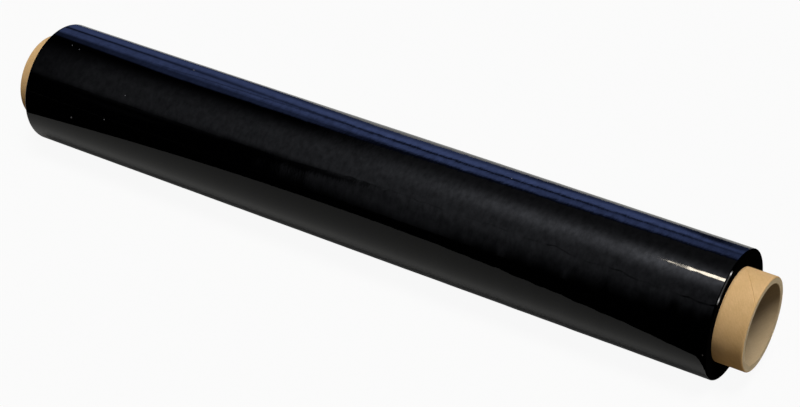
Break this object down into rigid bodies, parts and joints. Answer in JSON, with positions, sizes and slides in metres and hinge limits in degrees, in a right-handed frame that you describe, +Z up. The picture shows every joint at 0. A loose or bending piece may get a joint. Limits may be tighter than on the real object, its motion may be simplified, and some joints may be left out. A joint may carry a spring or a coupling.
{
  "type": "stretch wrap roll",
  "caption": "Roll of glossy black stretch film wound on a paperboard core that stands out at both ends, lying on its side; it turns on a rod through the core",
  "frame": {"origin": "On the surface that the roll lies on, under its axis, at the middle of the core's length", "axes": "+X runs along the roll to the end that is nearer in the picture, +Y is across it away from the viewer, +Z is up"},
  "size_m": [0.531, 0.0812, 0.081],
  "materials": {
    "core_board": "matte kraft",
    "black_film": "high gloss"
  },
  "bodies": {
    "root": {"core_tube": "core_board", "film_roll": "black_film"}
  },
  "joints": []
}
